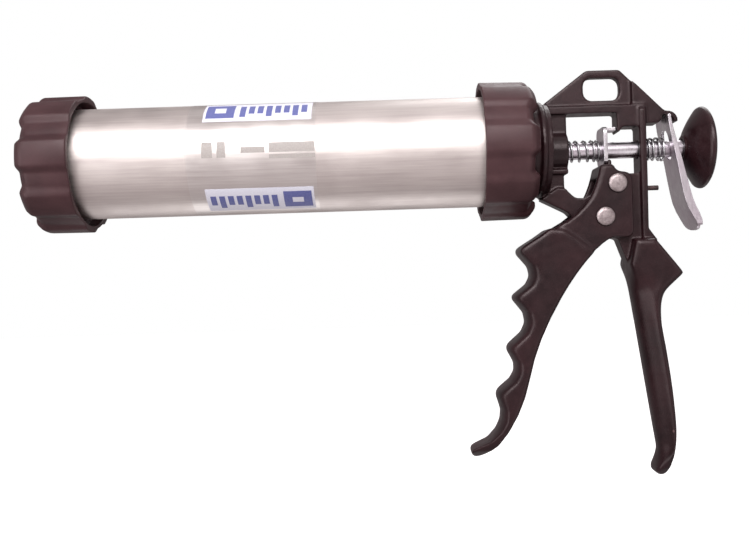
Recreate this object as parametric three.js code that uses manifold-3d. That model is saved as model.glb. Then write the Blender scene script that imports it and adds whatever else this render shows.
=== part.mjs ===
// Closed-barrel caulking gun: an aluminium barrel between two screwed caps, a cast frame with a
// fixed grip and a forked squeeze trigger, a push rod with a piston, and the clutch that moves it.
//
// Millimetres, Z up. The pieces are drawn with X along the barrel towards the pull knob, y = 0 and
// z = 0 on the barrel's axis, and x = 0 at the rear face of the rear collar. The whole gun is then
// shifted so that its origin is the middle of the hanging slot's upper face.

import * as THREE from "three";
import { mergeVertices } from "three/addons/utils/BufferGeometryUtils.js";
import Module from "manifold-3d";

// ---- Driving dimensions ----------------------------------------------------------------------

const GAP = 0.3; // between neighbouring pieces

const TUBE_R = 26.6; // barrel tube, outside
const TUBE_WALL = 1.3;
const TUBE_FRONT = -233.8;
const TUBE_REAR = -9.5;
const THREAD_PITCH = 4;
const THREAD_RINGS = 3;
const THREAD_DEPTH = 0.6;

const CAP_FRONT = -238.3; // front cap
const CAP_REAR = -214.8;
const CAP_R = 31.6;
const NOZZLE_HOLE_R = 13;

const COLLAR_FRONT = -24.8; // rear collar
const COLLAR_REAR = -1.8;
const COLLAR_R = 32;
const LOBES = 8;
const LOBE_HEIGHT = 1.5;
const LOBE_HALF_ANGLE = THREE.MathUtils.degToRad(13);
const LOBE_START = THREE.MathUtils.degToRad(3);

const NECK_R = 22; // frame neck that the collar turns on
const ROD_R = 4;
const ROD_Z = -1; // the rod lies just below the barrel's axis
const ROD_FRONT = -212; // shoulder that the piston stack rests on
const ROD_REAR = 80.7;
const STUD_R = 2.5;
const STUD_FRONT = -226;

const PIVOT = { x: 39.7, z: -17.8 }; // trigger pivot rivet
const STOP_PIN = { x: 33.4, z: -33.6 }; // lower rivet, which runs in the frame's arc slot
const RIVET_R = 2.9;
const RIVET_HEAD_R = 4.5;
const TRIGGER_SWING = THREE.MathUtils.degToRad(22);

const WEB_HALF = 5; // half the thickness of the frame's lower web
const COLUMN_HALF = 7;
const COLUMN = { front: 52, rear: 55.5 };
const CHEEK_INNER = 7.4; // the trigger's fork, measured from the middle plane
const CHEEK_OUTER = 10.2;
const TRIGGER_HALF = 11.5;
const GRIP_HALF = 12;
const GRIP_ROUND = 2.2;

const SLOT = { left: 26.4, right: 44.1, bottom: 23.2, top: 34.3, corner: 4 };
const LEVER_PIVOT = { x: 65.3, z: 13.9 };
const LEVER_HALF = 10;
const PLATE = { front: 34.3, rear: 36.3, bottom: -8.6, top: 9.9, half: 7.4 };
const BOSS_REAR = 17.4;
const STOP_FACE = 41.6; // where the drive plate's lip rests
const PEG = { r: 1.2, front: 53.2, rear: 62, z: -19.9 };

const KNOB_R = 19.8;
const KNOB_REAR = 85;

// ---- Geometry helpers ------------------------------------------------------------------------

const wasm = await Module();
wasm.setup();

const X = new THREE.Vector3(1, 0, 0);
const Y = new THREE.Vector3(0, 1, 0);
const Z = new THREE.Vector3(0, 0, 1);
const basis = (a, b, c) => new THREE.Matrix4().makeBasis(a, b, c);
const lerp = THREE.MathUtils.lerp;

// The geometry with shared vertices and no empty triangles, its faces turned outwards.
function closed(geometry) {
  const bare = geometry.clone();
  bare.deleteAttribute("normal");
  bare.deleteAttribute("uv");
  const merged = mergeVertices(bare, 1e-4);
  const place = merged.getAttribute("position");
  const corners = [];
  const [a, b, c] = [new THREE.Vector3(), new THREE.Vector3(), new THREE.Vector3()];
  let volume = 0;
  for (let i = 0; i < merged.index.count; i += 3) {
    const [p, q, r] = [0, 1, 2].map((k) => merged.index.getX(i + k));
    if (p === q || q === r || r === p) continue;
    corners.push(p, q, r);
    a.fromBufferAttribute(place, p);
    b.fromBufferAttribute(place, q);
    c.fromBufferAttribute(place, r);
    volume += a.dot(b.cross(c));
  }
  if (volume < 0) corners.reverse();
  merged.setIndex(corners);
  return merged;
}

function solid(geometry) {
  const { attributes, index } = closed(geometry);
  const vertProperties = new Float32Array(attributes.position.array);
  const triVerts = new Uint32Array(index.array);
  return new wasm.Manifold(new wasm.Mesh({ numProp: 3, vertProperties, triVerts }));
}

const join = (...solids) => solids.reduce((whole, next) => whole.add(next));
const cut = (body, ...tools) => tools.reduce((rest, tool) => rest.subtract(tool), body);

function geometryOf(body) {
  const { vertProperties, triVerts, numProp } = body.getMesh();
  const place = [];
  for (let i = 0; i < vertProperties.length; i += numProp) {
    place.push(vertProperties[i], vertProperties[i + 1], vertProperties[i + 2]);
  }
  const geometry = new THREE.BufferGeometry();
  geometry.setAttribute("position", new THREE.Float32BufferAttribute(place, 3));
  geometry.setIndex(Array.from(triVerts));
  return geometry;
}

// A solid turned about the barrel's axis, from a closed profile of [x, radius] points.
function turned(profile, sides = 48) {
  const points = profile.map(([x, r]) => new THREE.Vector2(r, x));
  if (profile[0][1] > 0) points.push(points[0].clone());
  return solid(new THREE.LatheGeometry(points, sides).applyMatrix4(basis(Z, X, Y)));
}

// The same about the push rod's axis.
const turnedOnRod = (profile, sides) => turned(profile, sides).translate([0, 0, ROD_Z]);

// A solid turned about a line along Y through (x, z), from a profile of [y, radius] points.
function turnedAcross(profile, { x, z }, sides = 24) {
  const points = profile.map(([y, r]) => new THREE.Vector2(r, y));
  return solid(new THREE.LatheGeometry(points, sides).translate(x, 0, z));
}

const rodAcross = (centre, r, y0, y1, sides = 24) =>
  turnedAcross([[y0, 0], [y0, r], [y1, r], [y1, 0]], centre, sides);
const rodAlong = (r, x0, x1, sides = 24, z = ROD_Z) =>
  turned([[x0, 0], [x0, r], [x1, r], [x1, 0]], sides).translate([0, 0, z]);

// A side outline, drawn in X and Z, given thickness along Y. A round eases the edges and keeps
// the outline and the thickness as they are.
function slab(outline, y0, y1, { round = 0, steps = 1, curve = 3 } = {}) {
  const geometry = new THREE.ExtrudeGeometry(outline, {
    depth: y1 - y0 - 2 * round,
    bevelEnabled: round > 0,
    bevelThickness: round,
    bevelSize: round,
    bevelOffset: -round,
    bevelSegments: steps,
    curveSegments: curve,
  });
  const minusY = Y.clone().negate();
  return solid(geometry.applyMatrix4(basis(X, Z, minusY)).translate(0, y1 - round, 0));
}

// An outline drawn in Y and Z, given thickness along X.
function crossSlab(outline, x0, x1, curve = 3) {
  const geometry = new THREE.ExtrudeGeometry(outline, {
    depth: x1 - x0,
    bevelEnabled: false,
    curveSegments: curve,
  });
  return solid(geometry.applyMatrix4(basis(Y, Z, X)).translate(x0, 0, 0));
}

const polygon = (points) => new THREE.Shape(points.map(([x, z]) => new THREE.Vector2(x, z)));
const block = (x0, x1, half, z0, z1) =>
  slab(polygon([[x0, z0], [x1, z0], [x1, z1], [x0, z1]]), -half, half);

function roundedBox(left, right, bottom, top, r) {
  const outline = new THREE.Shape();
  outline.moveTo(left + r, bottom);
  outline.absarc(right - r, bottom + r, r, -Math.PI / 2, 0);
  outline.absarc(right - r, top - r, r, 0, Math.PI / 2);
  outline.absarc(left + r, top - r, r, Math.PI / 2, Math.PI);
  outline.absarc(left + r, bottom + r, r, Math.PI, 1.5 * Math.PI);
  return outline;
}

// The space between x0 and x1 inside a front outline of the given half width, its foot rounded.
function footed(half, shoulder, foot, x0, x1) {
  const top = 40;
  const outline = new THREE.Shape();
  outline.moveTo(-half, top);
  outline.lineTo(-half, shoulder);
  outline.quadraticCurveTo(-half, foot, 0, foot);
  outline.quadraticCurveTo(half, foot, half, shoulder);
  outline.lineTo(half, top);
  return crossSlab(outline, x0, x1, 5);
}

// The band between two offsets of a curve drawn in X and Z; each offset is a function of 0...1.
function ribbon(curve, near, far, steps) {
  const side = (offset) => (_, i) => {
    const t = i / steps;
    const along = curve.getTangent(t);
    return curve.getPoint(t).add(new THREE.Vector2(-along.y, along.x).multiplyScalar(offset(t)));
  };
  const out = Array.from({ length: steps + 1 }, side(near));
  const back = Array.from({ length: steps + 1 }, side(far)).reverse();
  return new THREE.Shape([...out, ...back]);
}

// ---- Colours -----------------------------------------------------------------------------------

const finish = (color, roughness, metalness) =>
  new THREE.MeshStandardMaterial({ color, roughness, metalness });
const castPlum = () => finish(0x3a2a2c, 0.45, 0.2);
const mouldedPlum = () => finish(0x42302f, 0.5, 0);
const satinAluminium = () => finish(0xc3c0b8, 0.38, 0.9);
const zincSteel = () => finish(0xb9b7b8, 0.32, 0.9);
const springSteel = () => finish(0xa7a5a6, 0.3, 0.9);
const paleSteel = () => finish(0xc9bcb9, 0.4, 0.8);
const whiteNylon = () => finish(0xd9d6cc, 0.6, 0);

const gun = new THREE.Group();
const placed = new THREE.Group(); // every piece, in the axis frame
placed.position.set(-(SLOT.left + SLOT.right) / 2, 0, -SLOT.top);
gun.add(placed);

function add(name, body, material) {
  const mesh = new THREE.Mesh(geometryOf(body), material);
  mesh.geometry.computeVertexNormals();
  mesh.name = name;
  placed.add(mesh);
}

// ---- Barrel and its screwed ends ---------------------------------------------------------------

// Rolled rings that stand for one end's thread, from the rim inwards.
function threadRings(rim, inwards) {
  const profile = [];
  for (let ring = 0; ring < THREAD_RINGS; ring++) {
    const start = rim + inwards * (1.5 + ring * THREAD_PITCH);
    profile.push([start, TUBE_R], [start + inwards, TUBE_R + THREAD_DEPTH]);
    profile.push([start + 2 * inwards, TUBE_R]);
  }
  return profile;
}

function barrelTube() {
  const inside = TUBE_R - TUBE_WALL;
  const front = threadRings(TUBE_FRONT, 1);
  const rear = threadRings(TUBE_REAR, -1).reverse();
  return turned([
    [TUBE_FRONT, inside],
    [TUBE_FRONT, TUBE_R],
    ...front,
    ...rear,
    [TUBE_REAR, TUBE_R],
    [TUBE_REAR, inside],
  ]);
}

// Wedges that leave only the grip lobes of a full ring between x0 and x1.
function lobeWedges(x0, x1) {
  const [inner, outer] = [20, 45];
  const wedges = [];
  for (let lobe = 0; lobe < LOBES; lobe++) {
    const middle = LOBE_START + (lobe * 2 * Math.PI) / LOBES;
    const corner = (r, angle) => [-r * Math.cos(angle), r * Math.sin(angle)];
    const [a, b] = [middle - LOBE_HALF_ANGLE, middle + LOBE_HALF_ANGLE];
    const outline = polygon([corner(inner, a), corner(outer, a), corner(outer, b), corner(inner, b)]);
    wedges.push(crossSlab(outline, x0, x1));
  }
  return join(...wedges);
}

function frontCap() {
  const wall = 2.7;
  const inner = CAP_FRONT + wall;
  const skirtEnd = CAP_REAR - 6;
  const body = turned([
    [CAP_FRONT, NOZZLE_HOLE_R],
    [CAP_FRONT, CAP_R - 4],
    [CAP_FRONT + 4, CAP_R - 0.6],
    [CAP_REAR, CAP_R],
    [CAP_REAR, CAP_R - 1.6],
    [skirtEnd, CAP_R - 1.9],
    [skirtEnd, TUBE_R + THREAD_DEPTH + GAP],
    [inner, TUBE_R + THREAD_DEPTH + GAP],
    [inner, NOZZLE_HOLE_R],
  ]);
  const front = CAP_FRONT - 1.5;
  const lobeRing = turned([
    [front, CAP_R - 7],
    [front, CAP_R - 2.4],
    [front + 2.2, CAP_R + LOBE_HEIGHT - 0.2],
    [CAP_REAR, CAP_R + LOBE_HEIGHT],
    [CAP_REAR, CAP_R - 0.8],
    [CAP_FRONT + 4, CAP_R - 1.4],
    [CAP_FRONT + 0.8, CAP_R - 5],
    [CAP_FRONT + 0.8, CAP_R - 7],
  ]);
  return body.add(lobeRing.intersect(lobeWedges(front - 1, CAP_REAR + 1)));
}

function capSealRing() {
  const front = CAP_FRONT + 2.7 + GAP;
  const rear = TUBE_FRONT - GAP;
  return turned([[front, 21], [front, 26.8], [rear, 26.8], [rear, 21]], 32);
}

function rearCollar() {
  const wall = 4;
  const skirtEnd = COLLAR_FRONT + 6;
  const body = turned([
    [COLLAR_REAR, NECK_R + GAP + 0.1],
    [COLLAR_REAR, COLLAR_R - 3.6],
    [COLLAR_REAR - 3.2, COLLAR_R - 0.2],
    [COLLAR_FRONT, COLLAR_R],
    [COLLAR_FRONT, COLLAR_R - 1.8],
    [skirtEnd, COLLAR_R - 2],
    [skirtEnd, TUBE_R + THREAD_DEPTH + GAP],
    [TUBE_REAR + GAP, TUBE_R + THREAD_DEPTH + GAP],
    [TUBE_REAR + GAP, 25.6],
    [COLLAR_REAR - wall, 25.6],
    [COLLAR_REAR - wall, NECK_R + GAP + 0.1],
  ]);
  const rear = COLLAR_REAR + 2.5;
  const lobeRing = turned([
    [rear, COLLAR_R - 7],
    [rear, COLLAR_R - 3],
    [rear - 2.8, COLLAR_R + LOBE_HEIGHT - 0.2],
    [COLLAR_FRONT, COLLAR_R + LOBE_HEIGHT],
    [COLLAR_FRONT, COLLAR_R - 1],
    [COLLAR_REAR - 4, COLLAR_R - 1.2],
    [COLLAR_REAR - 0.8, COLLAR_R - 5],
    [COLLAR_REAR - 0.8, COLLAR_R - 7],
  ]);
  return body.add(lobeRing.intersect(lobeWedges(COLLAR_FRONT - 1, rear + 1)));
}

// Disc on the frame's spigot that keeps the collar on the neck and takes the barrel's rim.
function collarRetainingDisc() {
  const [front, rear] = [TUBE_REAR + GAP, NECK_FRONT - GAP];
  return turned([[front, 12.3], [front, 25], [rear, 25], [rear, 12.3]], 32);
}

// ---- Frame casting with the fixed grip ---------------------------------------------------------

const NECK_FRONT = -5.9;
const TOP_BAR = { bottom: 16.7, top: 20.3, half: 5.5 };
const ARM_HALF = 5;
const HANGER_HALF = 2.5;

function neck() {
  return turned([
    [TUBE_REAR - 0.5, 0],
    [TUBE_REAR - 0.5, 12],
    [NECK_FRONT, 12],
    [NECK_FRONT, NECK_R],
    [2.2, NECK_R],
    [2.8, NECK_R + 1.2],
    [4.6, NECK_R + 1.2],
    [5.4, NECK_R - 0.2],
    [7.8, NECK_R - 0.2],
    [7.8, 0],
  ], 40);
}

// Upright between the neck and the window, with the boss that guides the rod.
function frontPost() {
  const post = polygon([
    [5, TOP_BAR.top], [5, -23.5], [9, -25.5], [22, -25.5], [18.9, -22.2], [15.5, -19],
    [15.5, -12.4], [BOSS_REAR, -10], [BOSS_REAR, TOP_BAR.top],
  ]);
  const rib = slab(polygon([[6, -10], [BOSS_REAR, -10], [BOSS_REAR, -12.4], [6, -12.4]]), -6, 6);
  return join(slab(post, -4, 4), rodAlong(9.3, 6, BOSS_REAR), rib);
}

function hangerPlate() {
  const outline = new THREE.Shape();
  outline.moveTo(4, 17);
  outline.lineTo(4, 20.2);
  outline.lineTo(26.9, 37.2);
  outline.quadraticCurveTo(28, 38, 29.3, 38);
  outline.lineTo(43, 38);
  outline.quadraticCurveTo(44.2, 38, 45.1, 37);
  outline.lineTo(56.5, 25.6);
  outline.lineTo(56.5, 17);
  outline.holes.push(roundedBox(SLOT.left, SLOT.right, SLOT.bottom, SLOT.top, SLOT.corner));
  return slab(outline, -HANGER_HALF, HANGER_HALF);
}

// Arm behind the column whose hooked end holds the top of the release lever.
function leverArm() {
  const hook = { x: 66.4, z: 12.1 };
  const [outer, inner] = [4.8, 2.6];
  const tip = THREE.MathUtils.degToRad(-8);
  const root = THREE.MathUtils.degToRad(95);
  const outline = new THREE.Shape();
  outline.moveTo(49.3, 9.7);
  outline.lineTo(49.3, 32.3);
  outline.lineTo(55.5, 26.3);
  outline.lineTo(63.6, 18.2);
  outline.quadraticCurveTo(64.8, 17, 66, 16.9);
  outline.absarc(hook.x, hook.z, outer, root, tip, true);
  outline.absarc(hook.x, hook.z, inner, tip, root, false);
  outline.lineTo(64, 15.4);
  outline.lineTo(63.6, 13);
  outline.lineTo(62, 11.2);
  outline.lineTo(55, 11.2);
  outline.lineTo(55, 9.7);
  return slab(outline, -ARM_HALF, ARM_HALF, { curve: 4 });
}

// Block under the top bar: its front face is the stop that the drive plate springs back to.
function plateStop() {
  const outline = polygon([
    [STOP_FACE, 17], [STOP_FACE, 7.9], [STOP_FACE + 1, 7.2], [44.2, 9.7], [52.5, 9.7], [52.5, 17],
  ]);
  return slab(outline, -TOP_BAR.half, TOP_BAR.half);
}

// Web inside the trigger's fork, from the front post's foot to the column.
function lowerWeb() {
  const boss = 5.2;
  const start = THREE.MathUtils.degToRad(55);
  const end = THREE.MathUtils.degToRad(205);
  const outline = new THREE.Shape();
  outline.moveTo(3.6, -24.3);
  outline.lineTo(16.2, -30.7);
  outline.quadraticCurveTo(24.5, -41.5, 36.5, -43.6);
  outline.lineTo(40.6, -44.6);
  outline.lineTo(45.4, -58);
  outline.lineTo(54, -58);
  outline.lineTo(54, -12.9);
  outline.lineTo(45.2, -12.9);
  outline.absarc(PIVOT.x, PIVOT.z, boss, start, end, false);
  outline.lineTo(24.4, -24.1);
  outline.quadraticCurveTo(19, -25, 16.2, -19.5);
  outline.lineTo(12, -19);
  return slab(outline, -WEB_HALF, WEB_HALF);
}

function column() {
  const outline = polygon([
    [COLUMN.front, 18.5], [COLUMN.front, -47], [58.4, -47], [59.4, -45.6], [55.2, -39.7],
    [COLUMN.rear, -15], [COLUMN.rear, 18.5],
  ]);
  return slab(outline, -COLUMN_HALF, COLUMN_HALF, { round: 0.8 });
}

function fixedGrip() {
  const toe = { x: 58.1, z: -156.4, r: 3 };
  const outline = new THREE.Shape();
  outline.moveTo(47.4, -44.8);
  outline.lineTo(44.6, -57);
  outline.lineTo(48.6, -84);
  outline.lineTo(57.6, -147);
  outline.quadraticCurveTo(56.7, -152, toe.x - toe.r, toe.z);
  outline.absarc(toe.x, toe.z, toe.r, Math.PI, 1.9 * Math.PI, false);
  outline.quadraticCurveTo(64.6, -149, 64.8, -137);
  outline.quadraticCurveTo(64.4, -117, 59.4, -87);
  outline.quadraticCurveTo(58, -73.2, 62.2, -69.2);
  outline.lineTo(70.4, -61.7);
  outline.lineTo(57, -44.8);
  const bar = slab(outline, -GRIP_HALF, GRIP_HALF, { round: GRIP_ROUND, steps: 2, curve: 5 });
  return bar.intersect(footed(GRIP_HALF, -128, -160.4, 40, 75));
}

// Arc slot round the pivot in which the lower rivet runs; its ends stop the trigger.
function stopSlot() {
  const reach = Math.hypot(STOP_PIN.x - PIVOT.x, STOP_PIN.z - PIVOT.z);
  const rest = Math.atan2(STOP_PIN.z - PIVOT.z, STOP_PIN.x - PIVOT.x);
  const half = RIVET_R + 0.4;
  const slack = 0.5 / reach;
  const from = rest - slack;
  const to = rest + TRIGGER_SWING + slack;
  const end = (angle) => [PIVOT.x + reach * Math.cos(angle), PIVOT.z + reach * Math.sin(angle)];
  const outline = new THREE.Shape();
  outline.absarc(PIVOT.x, PIVOT.z, reach + half, from, to, false);
  outline.absarc(...end(to), half, to, to + Math.PI, false);
  outline.absarc(PIVOT.x, PIVOT.z, reach - half, to, from, true);
  outline.absarc(...end(from), half, from + Math.PI, from + 2 * Math.PI, false);
  return slab(outline, -WEB_HALF - 1, WEB_HALF + 1);
}

function frameCasting() {
  const topBar = block(4.5, COLUMN.rear, TOP_BAR.half, TOP_BAR.bottom, TOP_BAR.top);
  const whole = join(
    neck(), frontPost(), topBar, hangerPlate(), leverArm(), plateStop(), lowerWeb(), column(),
    fixedGrip(),
  );
  const rodHole = rodAlong(ROD_R + 0.4, -10, 60);
  const springSeat = rodAlong(6, 15.4, BOSS_REAR + 1);
  const pivotHole = rodAcross(PIVOT, RIVET_R + GAP, -8, 8);
  const pegHole = rodAlong(PEG.r + GAP, PEG.front - GAP, 59, 12, PEG.z);
  return cut(whole, rodHole, springSeat, pivotHole, stopSlot(), pegHole);
}

const releaseStopPeg = () => rodAlong(PEG.r, PEG.front, PEG.rear, 12, PEG.z);

// ---- Trigger -------------------------------------------------------------------------------------

// Tips between the finger hollows, from the beak down, and the control point of each hollow.
const FINGER_TIPS = [[-9.9, -48.9], [-12.9, -71], [-16.1, -95.4], [-21.7, -117.2]];
const FINGER_HOLLOWS = [[3.6, -61.8], [1, -84], [-6.8, -107.8], [-15.2, -130.6]];

function triggerGrip() {
  const toe = { x: -31.2, z: -145.5, r: 2.4 };
  const shoulder = [1.6, -42];
  const outline = new THREE.Shape();
  outline.moveTo(7, -38.4);
  outline.lineTo(...shoulder);
  FINGER_TIPS.forEach((tip, i) => {
    const before = i ? FINGER_HOLLOWS[i - 1] : shoulder;
    const after = FINGER_HOLLOWS[i];
    const [a, b] = [before, after].map((end) => {
      const reach = 4.4 / Math.hypot(end[0] - tip[0], end[1] - tip[1]);
      return [lerp(tip[0], end[0], reach), lerp(tip[1], end[1], reach)];
    });
    if (i) outline.quadraticCurveTo(...before, ...a);
    else outline.lineTo(...a);
    outline.quadraticCurveTo(...tip, ...b);
  });
  outline.quadraticCurveTo(...FINGER_HOLLOWS.at(-1), -25.2, -140.2);
  outline.lineTo(toe.x - 1.4, toe.z + 1.95);
  outline.absarc(toe.x, toe.z, toe.r, 0.76 * Math.PI, 1.6 * Math.PI, false);
  outline.quadraticCurveTo(-26.5, -146.9, -20.6, -142.3);
  outline.quadraticCurveTo(-8.5, -128.5, -4.5, -110.4);
  outline.quadraticCurveTo(-0.5, -92, 11.9, -71.8);
  outline.quadraticCurveTo(19.1, -60, 27.9, -50.6);
  outline.lineTo(24.4, -47);
  outline.lineTo(14, -39.4);
  const bar = slab(outline, -TRIGGER_HALF, TRIGGER_HALF, { round: 1.6, steps: 2, curve: 4 });
  return bar.intersect(footed(TRIGGER_HALF, -122, -148.6, -45, 40));
}

function cheekOutline() {
  const outline = new THREE.Shape();
  outline.moveTo(38.2, -8.7);
  outline.quadraticCurveTo(39.2, -12, 42, -12.2);
  outline.quadraticCurveTo(47, -12.4, 47.1, -16);
  outline.lineTo(47.1, -41);
  outline.quadraticCurveTo(46.8, -43.9, 44, -44);
  outline.lineTo(37, -43.9);
  outline.quadraticCurveTo(34, -44.2, 24.2, -54);
  outline.lineTo(14, -58);
  outline.lineTo(-2, -50);
  outline.lineTo(2, -42.6);
  outline.lineTo(10.6, -37.6);
  outline.quadraticCurveTo(20.4, -33, 26.5, -24.2);
  outline.quadraticCurveTo(30, -18, 31.8, -9.6);
  outline.quadraticCurveTo(32.2, -8.7, 33.2, -8.7);
  return outline;
}

// Finger that pushes the drive plate; the rest of the nose joins the two cheeks above the pivot.
function noseBridge() {
  const clear = 5.8; // round the web's pivot boss
  const from = THREE.MathUtils.degToRad(98);
  const to = THREE.MathUtils.degToRad(168);
  const outline = new THREE.Shape();
  outline.absarc(PIVOT.x, PIVOT.z, clear, from, to, false);
  outline.lineTo(30.9, -14);
  outline.lineTo(32, -9.2);
  outline.quadraticCurveTo(32.4, -8.7, 33.2, -8.7);
  outline.lineTo(38.2, -8.7);
  const bridge = slab(outline, -CHEEK_OUTER + 1, CHEEK_OUTER - 1);
  const finger = slab(roundedBox(PLATE.rear + GAP, 38.8, -12, -5.6, 1), -4, 4);
  return join(bridge, finger);
}

function triggerCasting() {
  const cheek = { round: 0.8, curve: 4 };
  const near = slab(cheekOutline(), -CHEEK_OUTER, -CHEEK_INNER, cheek);
  const far = slab(cheekOutline(), CHEEK_INNER, CHEEK_OUTER, cheek);
  const whole = join(near, far, noseBridge(), triggerGrip());
  const holes = [PIVOT, STOP_PIN].map((at) => rodAcross(at, RIVET_R + GAP, -15, 15));
  return cut(whole, ...holes);
}

// Rivet through the fork, with a low domed head on each cheek.
function rivet(centre) {
  const under = CHEEK_OUTER + GAP;
  const head = (side) => [
    [side * under, RIVET_HEAD_R],
    [side * (under + 0.7), RIVET_HEAD_R],
    [side * (under + 1.4), RIVET_HEAD_R - 1.3],
    [side * (under + 1.6), 0],
  ];
  const far = head(1);
  const near = head(-1).reverse();
  return turnedAcross([...near, [-under, RIVET_R], [under, RIVET_R], ...far], centre, 20);
}

// ---- Clutch: drive plate, release lever and their springs ------------------------------------------

function drivePlate() {
  const outline = roundedBox(-PLATE.half, PLATE.half, PLATE.bottom, PLATE.top, 3);
  const lip = block(35, STOP_FACE - GAP, 3.5, 8.1, PLATE.top);
  const plate = join(crossSlab(outline, PLATE.front, PLATE.rear, 2), lip);
  return cut(plate, rodAlong(ROD_R + 0.35, 30, 42));
}

// Strip that hangs from the arm's hook, with shallow side flanges turned towards the knob.
function releaseLever() {
  const line = new THREE.SplineCurve([
    new THREE.Vector2(LEVER_PIVOT.x, LEVER_PIVOT.z + 0.5),
    new THREE.Vector2(66.2, 7),
    new THREE.Vector2(68.8, -6),
    new THREE.Vector2(70.8, -18),
    new THREE.Vector2(73.1, -28.5),
    new THREE.Vector2(77.1, -36.5),
    new THREE.Vector2(79.4, -41.5),
  ]);
  const half = 0.7;
  const flangeDepth = (t) => half + 0.2 + 15 * t * t * (1 - t);
  const strip = slab(ribbon(line, () => -half, () => half, 14), -LEVER_HALF, LEVER_HALF);
  const flange = ribbon(line, () => -half, flangeDepth, 14);
  const near = slab(flange, -LEVER_HALF, -LEVER_HALF + 1.4);
  const far = slab(flange, LEVER_HALF - 1.4, LEVER_HALF);
  const rodSlot = crossSlab(roundedBox(-4.7, 4.7, -6.2, 8.2, 4.6), 60, 76, 2);
  return cut(join(strip, near, far).intersect(footed(LEVER_HALF, -36.5, -41.3, 60, 90)), rodSlot);
}

// Wire helix round the rod, its end coils closer together than the middle ones. It may widen.
class Helix extends THREE.Curve {
  constructor(x0, x1, startR, endR, turns) {
    super();
    Object.assign(this, { x0, x1, startR, endR, turns });
  }
  getPoint(t, target = new THREE.Vector3()) {
    const closing = (0.45 * Math.sin(2 * Math.PI * t)) / (2 * Math.PI);
    const angle = 2 * Math.PI * this.turns * t;
    const radius = lerp(this.startR, this.endR, t);
    const across = radius * Math.cos(angle);
    return target.set(lerp(this.x0, this.x1, t - closing), across, radius * Math.sin(angle) + ROD_Z);
  }
}

function coilSpring(x0, x1, { wire, turns, start, end }) {
  const r = wire / 2;
  const section = new THREE.Shape();
  section.absarc(0, 0, r, 0, 2 * Math.PI);
  const extrudePath = new Helix(x0 + r, x1 - r, start + r, end + r, turns);
  const steps = Math.round(turns * 13);
  return solid(
    new THREE.ExtrudeGeometry(section, { steps, extrudePath, curveSegments: 3, bevelEnabled: false }),
  );
}

const returnSpring = () =>
  coilSpring(15.8, PLATE.front - GAP, { wire: 1.1, turns: 6, start: ROD_R + GAP, end: ROD_R + GAP });
const releaseSpring = () =>
  coilSpring(COLUMN.rear + GAP, 65.1, { wire: 1.1, turns: 4, start: ROD_R + GAP, end: 5 });

// ---- Push rod, piston and knob ---------------------------------------------------------------------

function pushRod() {
  const rod = turnedOnRod([
    [STUD_FRONT, 0],
    [STUD_FRONT, STUD_R],
    [ROD_FRONT, STUD_R],
    [ROD_FRONT, ROD_R],
    [ROD_REAR, ROD_R],
    [ROD_REAR, 0],
  ], 24);
  return cut(rod, rodAlong(2.3, 74, 82, 12));
}

const PISTON = { rear: -209.6, faceRear: -214.6, faceFront: -219.6, r: 24 };
const washer = (x0, x1, r, hole) => turnedOnRod([[x0, hole], [x0, r], [x1, r], [x1, hole]], 32);
const pistonBackWasher = () => washer(-214.3, ROD_FRONT - GAP, 20, STUD_R + GAP);
const pistonFrontWasher = () => washer(-221.1, -219.9, 9, STUD_R + GAP);

function pistonCup() {
  const { rear, faceRear, faceFront, r } = PISTON;
  return turnedOnRod([
    [faceFront, STUD_R + GAP],
    [faceFront, r - 1.2],
    [faceFront + 1.2, r],
    [rear, r],
    [rear, r - 1.8],
    [faceRear, r - 2.6],
    [faceRear, STUD_R + GAP],
  ], 40);
}

function pistonNut() {
  const corners = Array.from({ length: 6 }, (_, i) => {
    const angle = (i * Math.PI) / 3;
    return [4.62 * Math.cos(angle), ROD_Z + 4.62 * Math.sin(angle)];
  });
  const nut = crossSlab(polygon(corners), -225.4, -221.4);
  return cut(nut, rodAlong(STUD_R + GAP, -227, -220, 16));
}

function pullKnob() {
  const sweep = new THREE.QuadraticBezierCurve(
    new THREE.Vector2(74.8, 6.6), new THREE.Vector2(76.6, 12), new THREE.Vector2(82, KNOB_R - 0.4));
  const trumpet = sweep.getPoints(5).map((p) => [p.x, p.y]);
  return turnedOnRod([
    [73.9, ROD_R + GAP],
    [73.9, 6],
    ...trumpet,
    [82.6, KNOB_R],
    [83.8, KNOB_R],
    [KNOB_REAR, KNOB_R - 1.6],
    [KNOB_REAR, 5.4],
    [82.6, 5.4],
    [82.6, 2.4],
    [ROD_REAR + GAP, 2.4],
    [ROD_REAR + GAP, ROD_R + GAP],
  ], 40);
}

function knobScrew() {
  const shank = 1.95;
  return turnedOnRod([
    [75, 0], [75, shank], [82.9, shank], [82.9, 4.9], [84, 4.9], [84.8, 3.4], [84.8, 0],
  ], 24);
}

// ---- Assembly --------------------------------------------------------------------------------------

add("frame_casting", frameCasting(), castPlum());
add("collar_retaining_disc", collarRetainingDisc(), zincSteel());
add("release_stop_peg", releaseStopPeg(), zincSteel());
add("rear_collar", rearCollar(), mouldedPlum());
add("barrel_tube", barrelTube(), satinAluminium());
add("cap_seal_ring", capSealRing(), whiteNylon());
add("front_cap", frontCap(), mouldedPlum());
add("trigger_casting", triggerCasting(), castPlum());
add("trigger_pivot_rivet", rivet(PIVOT), paleSteel());
add("trigger_stop_rivet", rivet(STOP_PIN), paleSteel());
add("drive_plate", drivePlate(), zincSteel());
add("return_spring", returnSpring(), springSteel());
add("release_lever", releaseLever(), zincSteel());
add("release_spring", releaseSpring(), springSteel());
add("push_rod", pushRod(), zincSteel());
add("piston_back_washer", pistonBackWasher(), zincSteel());
add("piston_cup", pistonCup(), whiteNylon());
add("piston_front_washer", pistonFrontWasher(), zincSteel());
add("piston_nut", pistonNut(), zincSteel());
add("pull_knob", pullKnob(), mouldedPlum());
add("knob_screw", knobScrew(), paleSteel());

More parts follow.
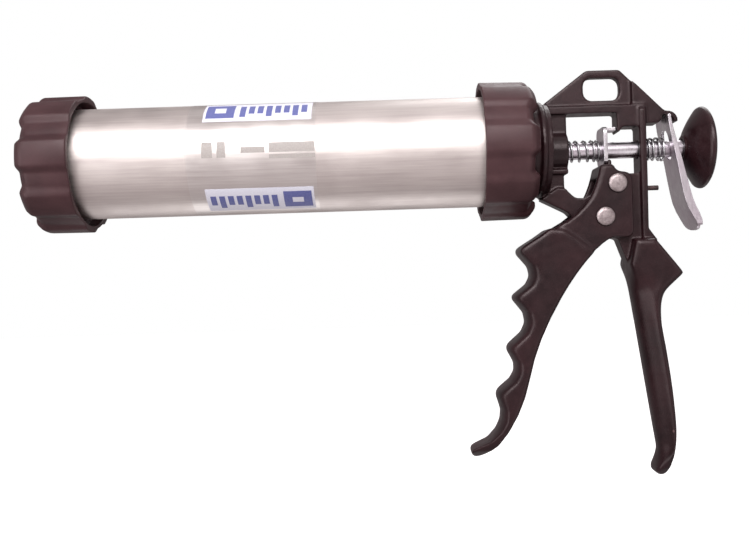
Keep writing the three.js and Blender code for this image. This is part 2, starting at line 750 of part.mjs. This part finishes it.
export default gun;
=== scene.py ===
# Looks of the caulking gun: detailed pieces, finishes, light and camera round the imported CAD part.
from math import atan, cos, hypot, pi, radians, sin

import bmesh
import bpy
from mathutils import Matrix, Vector


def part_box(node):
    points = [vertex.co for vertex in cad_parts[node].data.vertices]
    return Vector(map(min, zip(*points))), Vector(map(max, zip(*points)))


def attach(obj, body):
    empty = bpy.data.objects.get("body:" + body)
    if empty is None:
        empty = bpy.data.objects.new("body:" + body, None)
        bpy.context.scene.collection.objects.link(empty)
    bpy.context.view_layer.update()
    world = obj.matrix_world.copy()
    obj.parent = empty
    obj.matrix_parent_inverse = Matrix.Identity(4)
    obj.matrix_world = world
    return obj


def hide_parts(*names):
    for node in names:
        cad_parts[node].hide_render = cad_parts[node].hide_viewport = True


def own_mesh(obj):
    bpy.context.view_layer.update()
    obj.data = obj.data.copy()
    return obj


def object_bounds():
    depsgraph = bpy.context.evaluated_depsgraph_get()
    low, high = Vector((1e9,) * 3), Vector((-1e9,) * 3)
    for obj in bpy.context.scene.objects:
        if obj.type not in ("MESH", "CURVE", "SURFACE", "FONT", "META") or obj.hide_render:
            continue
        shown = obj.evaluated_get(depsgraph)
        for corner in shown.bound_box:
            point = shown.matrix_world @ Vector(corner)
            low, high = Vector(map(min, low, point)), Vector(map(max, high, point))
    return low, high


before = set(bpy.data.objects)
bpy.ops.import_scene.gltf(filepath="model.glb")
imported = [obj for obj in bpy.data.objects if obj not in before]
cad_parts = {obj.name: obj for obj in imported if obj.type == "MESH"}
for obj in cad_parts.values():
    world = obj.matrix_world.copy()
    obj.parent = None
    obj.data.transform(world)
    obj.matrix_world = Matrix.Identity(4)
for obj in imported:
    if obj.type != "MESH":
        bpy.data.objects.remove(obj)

cad_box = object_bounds()
MM = 0.001
scene = bpy.context.scene

# ---- Where things are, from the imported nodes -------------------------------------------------

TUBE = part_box("barrel_tube")
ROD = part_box("push_rod")
BARREL_Z = (TUBE[0].z + TUBE[1].z) / 2
ROD_Z = (ROD[0].z + ROD[1].z) / 2
TUBE_OUTER = 26.6
TUBE_INNER = 25.3


# ---- Shapes ----------------------------------------------------------------------------------

def new_piece(name, verts, faces, body):
    mesh = bpy.data.meshes.new(name)
    mesh.from_pydata([tuple(v) for v in verts], [], faces)
    bm = bmesh.new()
    bm.from_mesh(mesh)
    bmesh.ops.remove_doubles(bm, verts=bm.verts, dist=1e-7)
    bmesh.ops.recalc_face_normals(bm, faces=bm.faces)
    bm.to_mesh(mesh)
    bm.free()
    piece = bpy.data.objects.new(name, mesh)
    scene.collection.objects.link(piece)
    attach(piece, body)
    return piece


def smooth_shaded(piece, angle=38):
    mesh = piece.data
    mesh.polygons.foreach_set("use_smooth", [True] * len(mesh.polygons))
    mesh.set_sharp_from_angle(angle=radians(angle))


STEPS_A_CORNER = 4
MOST_OF_A_SIDE = 0.48


def eased(corners):
    """The closed profile with each corner rounded by its third number. Further numbers follow."""
    points = []
    count = len(corners)
    for i, corner in enumerate(corners):
        ease = corner[2]
        if not ease:
            points.append(corner)
            continue
        before, after = corners[i - 1], corners[(i + 1) % count]
        ends = []
        for other in (before, after):
            gap = hypot(other[0] - corner[0], other[1] - corner[1])
            share = min(ease / gap, MOST_OF_A_SIDE)
            ends.append([c + (o - c) * share for c, o in zip(corner, other)])
        for k in range(STEPS_A_CORNER + 1):
            t = k / STEPS_A_CORNER
            weights = ((1 - t) ** 2, 2 * t * (1 - t), t * t)
            points.append([sum(w * q for w, q in zip(weights, three))
                           for three in zip(ends[0], corner, ends[1])])
    return points


def lathe(name, corners, x0, z0, body, sides, lobe=None):
    """A closed profile of (x, r, ease, lift, push) in mm, turned about the line along X at z0."""
    profile = [tuple(c) + (0,) * (5 - len(c)) for c in corners]
    profile = eased(profile)
    verts = []
    for k in range(sides):
        angle = 2 * pi * k / sides
        rise = lobe(angle) if lobe else 0
        for x, r, _, lift, push in profile:
            radius = (r + lift * rise) * MM
            verts.append((x0 + (x + push * rise) * MM, -radius * cos(angle),
                          z0 + radius * sin(angle)))
    count = len(profile)
    faces = []
    for k in range(sides):
        a, b = k * count, (k + 1) % sides * count
        for i in range(count):
            j = (i + 1) % count
            faces.append((a + i, a + j, b + j, b + i))
    piece = new_piece(name, verts, faces, body)
    drop_flat_faces(piece)
    smooth_shaded(piece)
    return piece


def drop_flat_faces(piece):
    """Removes faces that have shrunk to a line or a point."""
    bm = bmesh.new()
    bm.from_mesh(piece.data)
    bmesh.ops.dissolve_degenerate(bm, dist=1e-8, edges=bm.edges)
    bmesh.ops.delete(bm, geom=[f for f in bm.faces if f.calc_area() < 1e-14], context="FACES")
    bm.to_mesh(piece.data)
    bm.free()


def sweep(name, path, radius, body):
    """A round wire along a path of points, closed by flat ends."""
    sides = 14
    verts, faces = [], []
    last = len(path) - 1
    across = Vector((0, 1, 0))
    for i, point in enumerate(path):
        along = (path[min(i + 1, last)] - path[max(i - 1, 0)]).normalized()
        across = (across - along * across.dot(along)).normalized()
        up = along.cross(across)
        for k in range(sides):
            angle = 2 * pi * k / sides
            verts.append(point + (across * cos(angle) + up * sin(angle)) * radius)
    for i in range(last):
        for k in range(sides):
            a, b = i * sides + k, i * sides + (k + 1) % sides
            faces.append((a, b, b + sides, a + sides))
    faces.append(tuple(range(sides)))
    faces.append(tuple(last * sides + k for k in range(sides)))
    piece = new_piece(name, verts, faces, body)
    smooth_shaded(piece, 60)
    return piece


def applied(piece):
    """The piece with its modifiers made part of its mesh."""
    graph = bpy.context.evaluated_depsgraph_get()
    piece.data = bpy.data.meshes.new_from_object(piece.evaluated_get(graph))
    piece.modifiers.clear()
    piece.data.materials.clear()


def smoothed(piece, name, passes, group=""):
    ease = piece.modifiers.new(name, "SMOOTH")
    ease.iterations = passes
    ease.vertex_group = group
    applied(piece)


def settled(source, name, voxel, smooth, body, grip=None):
    """A copy of a node's mesh with its edges flowed into small fillets. A grip is rounded more:
    its rounding grows between two heights and eases off again towards its toe."""
    piece = bpy.data.objects.new(name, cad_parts[source].data.copy())
    scene.collection.objects.link(piece)
    remesh = piece.modifiers.new("flow", "REMESH")
    remesh.mode = "VOXEL"
    remesh.voxel_size = voxel * MM
    smoothed(piece, "ease", smooth)
    if grip:
        top, full, toe, passes = grip
        ease_length = 22 * MM
        least = 0.12
        group = piece.vertex_groups.new(name="grip")
        for vert in piece.data.vertices:
            share = (top - vert.co.z) / (top - full)
            near_toe = least + (vert.co.z - toe) / ease_length
            if share > 0:
                group.add([vert.index], min(share, near_toe, 1), "REPLACE")
        smoothed(piece, "round_off", passes, "grip")
        piece.vertex_groups.clear()
    smooth_shaded(piece, 180)
    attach(piece, body)
    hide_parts(source)
    return piece


# ---- Finishes --------------------------------------------------------------------------------

def start(name):
    material = bpy.data.materials.new(name)
    material.use_nodes = True
    return material, material.node_tree, material.node_tree.nodes["Principled BSDF"]


def node(tree, kind, inputs=(), **settings):
    made = tree.nodes.new("ShaderNode" + kind)
    for key, value in settings.items():
        setattr(made, key, value)
    for key, value in dict(inputs).items():
        if isinstance(value, bpy.types.NodeSocket):
            tree.links.new(value, made.inputs[key])
        else:
            made.inputs[key].default_value = value
    return made


def noise(tree, scale, stretch=(1, 1, 1), detail=3, rough=0.55):
    place = node(tree, "TexCoord")
    fit = node(tree, "Mapping", {"Vector": place.outputs["Object"], "Scale": stretch})
    made = node(tree, "TexNoise", {"Vector": fit.outputs[0], "Scale": scale, "Detail": detail,
                                   "Roughness": rough})
    return made.outputs["Fac"]


def spread(tree, fac, low, high, out_low, out_high):
    made = node(tree, "MapRange", {"Value": fac, "From Min": low, "From Max": high,
                                   "To Min": out_low, "To Max": out_high})
    return made.outputs[0]


def mixed(tree, fac, a, b):
    made = node(tree, "Mix", data_type="RGBA")
    for socket, value in zip((made.inputs[0], made.inputs[6], made.inputs[7]), (fac, a, b)):
        if isinstance(value, bpy.types.NodeSocket):
            tree.links.new(value, socket)
        else:
            socket.default_value = value
    return made.outputs[2]


def colour(r, g, b):
    """A colour given as it looks on a screen, 0 to 255, as the linear one that the shader takes."""
    line = [c / 255 / 12.92 if c <= 10 else ((c / 255 + 0.055) / 1.055) ** 2.4 for c in (r, g, b)]
    return (*line, 1)


def bumped(tree, shader, *layers):
    """Bumps on the shader from (height, distance in mm, strength) layers."""
    normal = None
    for height, distance, strength in layers:
        inputs = {"Height": height, "Distance": distance * MM, "Strength": strength}
        if normal:
            inputs["Normal"] = normal
        normal = node(tree, "Bump", inputs).outputs[0]
    tree.links.new(normal, shader.inputs["Normal"])


def painted_edge_highlight(tree, low, high, most):
    """0 on faces, rising to most on sharp outer edges, broken up by noise: the mask of a painted
    highlight along the edges.
    """
    edge = spread(tree, node(tree, "NewGeometry").outputs["Pointiness"], low, high, 0, 1)
    broken = spread(tree, noise(tree, 420, detail=4), 0.42, 0.62, 0.25, 1)
    both = node(tree, "Math", {0: edge, 1: broken}, operation="MULTIPLY")
    return node(tree, "Math", {0: both.outputs[0], 1: most}, operation="MULTIPLY").outputs[0]


DUST = colour(92, 62, 64)
# Paler colour for the painted highlight on sharp edges.
EDGE_HIGHLIGHT = colour(126, 96, 96)


def painted(name, dark, light, rough, grain, edges):
    """Coloured coat on a casting or a moulding: fine grain, uneven gloss, and paler sharp edges that
    are a painted highlight.
    """
    material, tree, shader = start(name)
    cloud = spread(tree, noise(tree, 60, detail=5), 0.3, 0.7, 0, 1)
    base = mixed(tree, cloud, dark, light)
    speck = spread(tree, noise(tree, 2600, detail=2), 0.55, 0.75, 0, 0.22)
    base = mixed(tree, speck, base, DUST)
    # Sharp edges made paler: a painted highlight along the edges.
    base = mixed(tree, painted_edge_highlight(tree, 0.545, 0.63, edges), base, EDGE_HIGHLIGHT)
    tree.links.new(base, shader.inputs["Base Color"])
    gloss = spread(tree, noise(tree, 240, detail=5), 0.3, 0.7, rough - 0.06, rough + 0.08)
    tree.links.new(gloss, shader.inputs["Roughness"])
    shader.inputs["IOR"].default_value = 1.48
    shader.inputs["Specular IOR Level"].default_value = 0.38
    shader.inputs["Specular Tint"].default_value = (1, 0.85, 0.86, 1)
    fine = (noise(tree, 1500, detail=3), 0.05, grain)
    broad = (noise(tree, 160), 0.12, 0.12)
    bumped(tree, shader, fine, broad)
    return material


def metal(name, dark, light, rough, stretch, grain, tint=None):
    """Bare or plated metal with drawn or tumbled fine lines."""
    material, tree, shader = start(name)
    lines = noise(tree, 900, stretch, detail=5, rough=0.7)
    cloud = spread(tree, noise(tree, 45, detail=4), 0.35, 0.65, 0, 1)
    base = mixed(tree, spread(tree, lines, 0.3, 0.7, 0, 1), dark, light)
    if tint:
        some = node(tree, "Math", {0: cloud, 1: 0.5}, operation="MULTIPLY").outputs[0]
        base = mixed(tree, some, base, tint)
    tree.links.new(base, shader.inputs["Base Color"])
    shader.inputs["Metallic"].default_value = 1
    both = node(tree, "Math", {0: lines, 1: cloud}, operation="ADD").outputs[0]
    gloss = spread(tree, both, 0.4, 1.6, rough - 0.06, rough + 0.1)
    tree.links.new(gloss, shader.inputs["Roughness"])
    bumped(tree, shader, (lines, 0.02, grain))
    return material


def printed(name, ink, paper, rough):
    """Ink or film with a faint dotted unevenness."""
    material, tree, shader = start(name)
    fleck = spread(tree, noise(tree, 1800, detail=2), 0.35, 0.7, 0, 0.35)
    tree.links.new(mixed(tree, fleck, ink, paper), shader.inputs["Base Color"])
    gloss = spread(tree, noise(tree, 300), 0.3, 0.7, rough, rough + 0.12)
    tree.links.new(gloss, shader.inputs["Roughness"])
    bumped(tree, shader, (noise(tree, 500), 0.02, 0.15))
    return material


CAST = painted("cast_coat", colour(18, 6, 9), colour(36, 15, 19), 0.34, 0.22, 0.45)
BLACKED = painted("blacked_steel", colour(8, 6, 6), colour(20, 16, 16), 0.5, 0.2, 0.3)
MOULDED = painted("moulded_coat", colour(48, 27, 30), colour(66, 42, 45), 0.42, 0.16, 0.2)
KNOB = painted("knob_coat", colour(22, 8, 11), colour(38, 17, 21), 0.32, 0.12, 0.2)
ALUMINIUM = metal("drawn_aluminium", colour(204, 194, 192), colour(222, 214, 210), 0.42,
                  (0.03, 1, 1), 0.17)
ZINC = metal("zinc_plate", colour(190, 187, 192), colour(226, 224, 226), 0.3,
             (1, 1, 0.2), 0.2, colour(180, 160, 176))
SPRING = metal("spring_wire", colour(150, 148, 152), colour(204, 203, 205), 0.26, (1, 0.3, 1), 0.2)
RIVET = metal("rivet_head", colour(132, 120, 122), colour(180, 168, 168), 0.42, (1, 1, 1), 0.6)
NYLON = printed("nylon", colour(214, 210, 198), colour(232, 229, 220), 0.5)


def wear(piece, material):
    piece.data.materials.clear()
    piece.data.materials.append(material)
    return piece


# ---- Barrel, caps and collar -----------------------------------------------------------------

THREAD_RINGS = 3
THREAD_START = 1.5
THREAD_PITCH = 4
THREAD_HEIGHT = 0.55
LOBES = 8
LOBE_PITCH = 2 * pi / LOBES
LOBE_START = radians(3)
LOBE_HALF = radians(13)
LOBE_EASE = radians(4)


def lobe(angle):
    """1 on a grip lobe and 0 between two, with eased sides."""
    off = abs((angle - LOBE_START + LOBE_PITCH / 2) % LOBE_PITCH - LOBE_PITCH / 2)
    t = min(max((LOBE_HALF + LOBE_EASE - off) / (2 * LOBE_EASE), 0), 1)
    return t * t * (3 - 2 * t)


def barrel():
    """The tube, with its threads as plain rings near both ends."""
    length = (TUBE[1].x - TUBE[0].x) / MM
    rings = []
    for k in range(THREAD_RINGS):
        x = THREAD_START + THREAD_PITCH * k
        rings += [(x, TUBE_OUTER, 0.3), (x + 1, TUBE_OUTER + THREAD_HEIGHT, 0.5),
                  (x + 2, TUBE_OUTER, 0.3)]
    back = [(length - x, r, e) for x, r, e in reversed(rings)]
    profile = [(0, TUBE_INNER, 0.3), (0, TUBE_OUTER, 0.3), *rings, *back,
               (length, TUBE_OUTER, 0.3), (length, TUBE_INNER, 0.3)]
    piece = lathe("barrel_shell", profile, TUBE[0].x, BARREL_Z, "barrel", sides=192)
    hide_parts("barrel_tube")
    return wear(piece, ALUMINIUM)


def front_cap():
    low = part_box("front_cap")[0].x
    profile = [
        (1.5, 13, 0.5, 0, 0),
        (1.5, 24.4, 0, 0, 0),
        (1.5, 25.4, 0.5, 0, -1.5),
        (1.5, 27.8, 1.2, 1.4, -1.5),
        (4.9, 30.8, 1.6, 2.1, -1.2),
        (25, 31.6, 0.5, 1.5, 0),
        (25, 30, 0.4, 0, 0),
        (19, 29.7, 0.3, 0, 0),
        (19, 27.5, 0.3, 0, 0),
        (4.2, 27.5, 0.5, 0, 0),
        (4.2, 13, 0.5, 0, 0),
    ]
    piece = lathe("front_cap_shell", profile, low, BARREL_Z, "front_cap", 288, lobe)
    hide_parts("front_cap")
    return wear(piece, MOULDED)


def rear_collar():
    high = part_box("rear_collar")[1].x
    profile = [
        (-2.5, 22.4, 0.4, 0, 0),
        (-2.5, 25.2, 0, 0, 0),
        (-2.5, 26, 0.4, 0, 2.5),
        (-2.5, 28.4, 1.2, 0.6, 2.5),
        (-5, 32, 1.6, 1.2, 1.8),
        (-25.5, 32.4, 0.5, 1.1, 0),
        (-25.5, 30.2, 0.4, 0, 0),
        (-19.5, 30, 0.3, 0, 0),
        (-19.5, 27.5, 0.3, 0, 0),
        (-9.9, 27.5, 0.3, 0, 0),
        (-9.9, 25.6, 0.2, 0, 0),
        (-6.5, 25.6, 0.3, 0, 0),
        (-6.5, 22.4, 0.3, 0, 0),
    ]
    piece = lathe("rear_collar_shell", profile, high, BARREL_Z, "rear_collar", 288,
                  lobe)
    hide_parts("rear_collar")
    return wear(piece, MOULDED)


def patch(name, x0, x1, low, high, lift, thick, material):
    """A thin curved sheet on the barrel, between two distances from its front end in mm and two
    angles in degrees."""
    inner = (TUBE_OUTER + lift) * MM
    outer = inner + thick * MM
    steps = max(int((high - low) / 2), 4)
    ring = []
    for k in range(steps + 1):
        angle = radians(low + (high - low) * k / steps)
        ring.append((cos(angle), sin(angle)))
    verts = []
    for x in (x0, x1):
        for radius in (inner, outer):
            verts += [(TUBE[0].x + x * MM, -radius * c, BARREL_Z + radius * s) for c, s in ring]
    n = steps + 1
    faces = []
    for a, b in ((0, 1), (1, 3), (3, 2), (2, 0)):
        faces += [(a * n + k, a * n + k + 1, b * n + k + 1, b * n + k) for k in range(steps)]
    faces += [(0, n, 3 * n, 2 * n), (n - 1, 2 * n - 1, 4 * n - 1, 3 * n - 1)]
    piece = new_piece(name, verts, faces, "barrel")
    smooth_shaded(piece, 30)
    return wear(piece, material)


FILM = metal("label_film", colour(208, 200, 198), colour(228, 222, 219), 0.34, (0.03, 1, 1), 0.12)
WHITE = printed("label_white", colour(208, 208, 220), colour(232, 232, 240), 0.4)
BLUE = printed("label_blue", colour(84, 90, 148), colour(128, 132, 176), 0.4)
GREY = printed("label_grey", colour(150, 143, 140), colour(190, 184, 180), 0.4)


def label():
    """Clear film with two printed badges and a row of marks between them, all without lettering."""
    patch("label_film", 71.6, 131.2, -77, 82, 0.03, 0.05, FILM)
    left, right = 78.8, 129.4
    for name, low, high, upright in (("upper", 34, 70, True), ("lower", -70, -37, False)):
        patch(f"badge_{name}", left, right, low, high, 0.1, 0.04, WHITE)
        block = (left + 1.2, left + 14.4) if upright else (right - 14.4, right - 1.2)
        patch(f"badge_{name}_block", *block, low + 5, high - 5, 0.16, 0.04, BLUE)
        spot = (block[0] + 4, block[1] - 4)
        patch(f"badge_{name}_block_bar", *spot, low + 13, high - 13, 0.22, 0.03, WHITE)
        for k in range(8):
            step = 4.1 * k
            x = left + 17 + step if upright else right - 20 - step
            rise = 6 if k % 3 == 0 else 11
            patch(f"badge_{name}_bar_{k}", x, x + 2.7, low + rise, high - 9, 0.16, 0.04, BLUE)
    marks = ((79, 84, 11, -5), (86, 90, 11, -5), (97, 108, 5, -1), (110, 131, 9, -1),
             (110, 131, -3, -7))
    for k, (x0, x1, top, bottom) in enumerate(marks):
        patch(f"label_mark_{k}", x0, x1, bottom, top, 0.1, 0.03, GREY)


# ---- Castings --------------------------------------------------------------------------------

ROW = MM


def between_rows(rows, at):
    """The value at a place between the numbered rows."""
    row = min(max(int(at), 0), len(rows) - 2)
    t = min(max(at - row, 0), 1)
    return rows[row] * (1 - t) + rows[row + 1] * t


def crown(piece, top, front, back, side=0):
    """Crowns a grip below a height: its front and back faces fall away towards both sides, by up
    to the given depths in mm, and its outline in side view stays. Its sides can fall away too, to
    the front and back of a ridge."""
    ridge = 0.6
    verts = piece.data.vertices
    low = min(v.co.z for v in verts)
    count = int((top - low) / ROW) + 1
    left, right, half = [1.0] * count, [-1.0] * count, [0.0] * count
    chosen = [v for v in verts if v.co.z < top]
    for v in chosen:
        row = int((v.co.z - low) / ROW)
        left[row] = min(left[row], v.co.x)
        right[row] = max(right[row], v.co.x)
        half[row] = max(half[row], abs(v.co.y))
    fade = 16 * MM
    for v in chosen:
        at = (v.co.z - low) / ROW - 0.5
        x0, x1, y1 = (between_rows(rows, at) for rows in (left, right, half))
        ends = min((top - v.co.z) / fade, (v.co.z - low) / fade, 1)
        ends *= ends * (3 - 2 * ends)
        across = min(abs(v.co.y) / y1, 1) ** 2.6 * ends
        along = min(max((v.co.x - x0) / (x1 - x0), 0), 1)
        v.co.x += across * (front * (1 - along) - back * along) * MM
        if along < ridge:
            fall = side * ((ridge - along) / ridge) ** 1.5
        else:
            fall = side / 4 * ((along - ridge) / (1 - ridge)) ** 1.5
        v.co.y *= 1 - fall * MM * ends / y1


def rim(piece, low, high, width, depth):
    """Chamfers the front edge of a casting's two side faces between two heights, by mm."""
    chosen = [v for v in piece.data.vertices if low <= v.co.z < high]
    half = max(abs(v.co.y) for v in chosen)
    skin = 1.2 * MM
    edge = [1.0] * (int((high - low) / ROW) + 1)
    for v in chosen:
        if abs(v.co.y) > half - skin:
            row = int((v.co.z - low) / ROW)
            edge[row] = min(edge[row], v.co.x)
    for v in chosen:
        front = between_rows(edge, (v.co.z - low) / ROW - 0.5)
        near = min(1 - (v.co.x - front) / (width * MM), 1)
        if near > 0:
            outward = 1 if v.co.y > 0 else -1
            v.co.y -= near * depth * MM * outward * (abs(v.co.y) / half) ** 4


def castings():
    voxel = 0.55
    share = 1
    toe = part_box("frame_casting")[0].z
    grip = (toe + 108 * MM, toe + 84 * MM, toe, int(60 * share))
    body = settled("frame_casting", "frame_casting_shell", voxel, 4, "frame", grip)
    crown(body, toe + 104 * MM, 4.5, 0.3, 3)
    wear(body, CAST)
    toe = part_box("trigger_casting")[0].z
    grip = (toe + 112 * MM, toe + 100 * MM, toe, int(16 * share))
    lever = settled("trigger_casting", "trigger_casting_shell", voxel, 9, "trigger",
                    grip)
    crown(lever, toe + 104 * MM, 2.4, 0.6)
    rim(lever, toe + 112 * MM, toe + 139 * MM, 2.6, 0.72)
    wear(lever, CAST)


# ---- Rod, clutch, springs and knob -----------------------------------------------------------

WIRE = 1.1
POINTS_A_TURN = 40
END_CLOSING = 0.45


def helix(x0, x1, start_r, end_r, turns):
    """Points of a spring's wire between two places along X, with its radii in mm. The end coils
    are closer together."""
    count = int(turns * POINTS_A_TURN)
    path = []
    for i in range(count + 1):
        t = i / count
        closing = END_CLOSING * sin(2 * pi * t) / (2 * pi)
        radius = (start_r + (end_r - start_r) * t) * MM
        angle = 2 * pi * turns * t
        x = x0 + (x1 - x0) * (t - closing)
        path.append(Vector((x, radius * cos(angle), ROD_Z + radius * sin(angle))))
    return path


def springs():
    for node_name, body, joint, turns, radii, keep in (
        ("return_spring", "frame", "drive_plate_travel", 6, (4.85, 4.85), 0.72),
        ("release_spring", "frame", "release_press", 4, (4.85, 5.55), 0.8),
    ):
        low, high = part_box(node_name)
        x0, x1 = low.x + WIRE / 2 * MM, high.x - WIRE / 2 * MM
        path = helix(x0, x1, *radii, turns)
        piece = sweep(node_name + "_wire", path, WIRE / 2 * MM, body)
        wear(piece, SPRING)
        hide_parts(node_name)
        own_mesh(piece)


def rod():
    """The rod, stepped down at the front for the piston and bored at the back for the screw."""
    low, high = ROD
    length = (high.x - low.x) / MM
    shoulder = 14
    bore_end = length - 6.7
    profile = [(0, 0, 0), (0, 2.5, 0.5), (shoulder, 2.5, 0.2), (shoulder, 4, 0.4),
               (length, 4, 0.5), (length, 2.3, 0.2), (bore_end, 2.3, 0), (bore_end, 0, 0)]
    piece = lathe("push_rod_bar", profile, low.x, ROD_Z, "rod", 72)
    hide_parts("push_rod")
    wear(piece, ZINC)


def knob():
    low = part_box("pull_knob")[0].x
    bend = [(0.9, 6.6), (2.7, 12), (8.1, 19.4)]
    trumpet = []
    steps = 14
    for k in range(steps + 1):
        t = k / steps
        weights = ((1 - t) ** 2, 2 * t * (1 - t), t * t)
        trumpet.append((*(sum(w * p[i] for w, p in zip(weights, bend)) for i in (0, 1)), 0))
    profile = [(0, 4.3, 0.3), (0, 6, 0.5), *trumpet, (8.9, 19.8, 0.6), (9.9, 19.8, 0.7),
               (11.1, 18.2, 0.6), (11.1, 5.4, 0.5), (8.7, 5.4, 0.3), (8.7, 2.4, 0.2),
               (7.1, 2.4, 0), (7.1, 4.3, 0)]
    piece = lathe("pull_knob_shell", profile, low, ROD_Z, "rod", 128)
    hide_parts("pull_knob")
    wear(piece, KNOB)


def clutch():
    voxel = 0.25
    wear(settled("drive_plate", "drive_plate_strip", voxel, 2, "drive_plate"), ZINC)
    lever = settled("release_lever", "release_lever_strip", voxel, 6, "release_lever")
    wear(lever, ZINC)


def rivets():
    for node_name in ("trigger_pivot_rivet", "trigger_stop_rivet"):
        piece = settled(node_name, node_name + "_body", 0.3, 2, "trigger")
        wear(piece, RIVET)


# ---- Small turned parts that stay as packed --------------------------------------------------

def carried_over():
    for name, material in (
        ("collar_retaining_disc", ZINC), ("release_stop_peg", BLACKED), ("cap_seal_ring", NYLON),
        ("piston_back_washer", ZINC), ("piston_cup", NYLON), ("piston_front_washer", ZINC),
        ("piston_nut", ZINC), ("knob_screw", RIVET),
    ):
        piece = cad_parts[name]
        wear(piece, material)
        edge = piece.modifiers.new("edge", "BEVEL")
        edge.width = 0.2 * MM
        edge.segments = 2
        edge.limit_method = "ANGLE"
        edge.angle_limit = radians(35)


barrel()
front_cap()
rear_collar()
label()
castings()
springs()
rod()
knob()
clutch()
rivets()
carried_over()


# ---- Floor, light and camera -----------------------------------------------------------------

def floor():
    drop = 0.3
    half = 6
    z = cad_box[0].z - drop
    mesh = bpy.data.meshes.new("floor")
    corners = [(-half, -half, z), (half, -half, z), (half, half, z), (-half, half, z)]
    mesh.from_pydata(corners, [], [(0, 1, 2, 3)])
    piece = bpy.data.objects.new("floor", mesh)
    scene.collection.objects.link(piece)
    material, tree, shader = start("floor_paper")
    base = mixed(tree, noise(tree, 3), (0.93, 0.93, 0.93, 1), (0.96, 0.96, 0.96, 1))
    tree.links.new(base, shader.inputs["Base Color"])
    shader.inputs["Roughness"].default_value = 0.9
    shader.inputs["Emission Color"].default_value = (1, 1, 1, 1)
    shader.inputs["Emission Strength"].default_value = 0.8
    mesh.materials.append(material)
    piece.visible_diffuse = False
    piece.visible_glossy = False


def softbox(name, place, size, power, aim):
    light = bpy.data.lights.new(name, "AREA")
    light.shape = "RECTANGLE"
    light.size, light.size_y = size
    light.energy = power
    lamp = bpy.data.objects.new(name, light)
    lamp.location = place
    lamp.rotation_euler = (Vector(aim) - Vector(place)).to_track_quat("-Z", "Y").to_euler()
    scene.collection.objects.link(lamp)


def studio():
    aim = (cad_box[0] + cad_box[1]) / 2
    softbox("key", (-0.2, -0.85, 0.52), (1.0, 0.5), 11.5, aim)
    softbox("top", (0.05, 0.1, 1.1), (1.4, 0.7), 1.5, aim)
    softbox("fill", (0.9, -0.6, 0.1), (0.5, 0.9), 1, aim)
    softbox("low", (0.45, -0.8, -0.6), (0.6, 0.6), 0.8, aim)
    softbox("left", (-1.1, -0.75, -0.05), (0.9, 1.2), 7, aim)
    softbox("back", (0.4, 0.8, 1.0), (1.0, 0.7), 6, aim)
    softbox("under", (-0.1, 0.5, -0.9), (1.0, 0.6), 2, aim)
    from_front, from_behind = 0.66, 0.34
    world = bpy.data.worlds.new("studio")
    world.use_nodes = True
    tree = world.node_tree
    lit = tree.nodes["Background"]
    lit.inputs["Color"].default_value = (1, 0.91, 0.915, 1)
    way = node(tree, "TexCoord").outputs["Generated"]
    ahead = node(tree, "SeparateXYZ", {"Vector": way}).outputs["Y"]
    strength = spread(tree, ahead, -0.6, 0.5, from_front, from_behind)
    tree.links.new(strength, lit.inputs["Strength"])
    seen = node(tree, "Background", {"Color": (1, 1, 1, 1), "Strength": 1.0})
    rays = node(tree, "LightPath")
    choice = tree.nodes.new("ShaderNodeMixShader")
    tree.links.new(rays.outputs["Is Camera Ray"], choice.inputs[0])
    tree.links.new(lit.outputs[0], choice.inputs[1])
    tree.links.new(seen.outputs[0], choice.inputs[2])
    tree.links.new(choice.outputs[0], tree.nodes["World Output"].inputs["Surface"])
    scene.world = world
    scene.view_settings.view_transform = "Standard"


def camera():
    place = Vector((-101.3, -416, -92.4)) * MM
    roll = atan(0.0315)
    lens = bpy.data.cameras.new("camera")
    lens.sensor_width = 36
    lens.lens = 40.87
    lens.shift_x = -0.0325
    eye = bpy.data.objects.new("camera", lens)
    right = Vector((cos(roll), 0, -sin(roll)))
    up = Vector((sin(roll), 0, cos(roll)))
    back = Vector((0, -1, 0))
    turn = Matrix((right, up, back)).transposed().to_4x4()
    eye.matrix_world = Matrix.Translation(place) @ turn
    scene.collection.objects.link(eye)
    scene.camera = eye


floor()
studio()
camera()
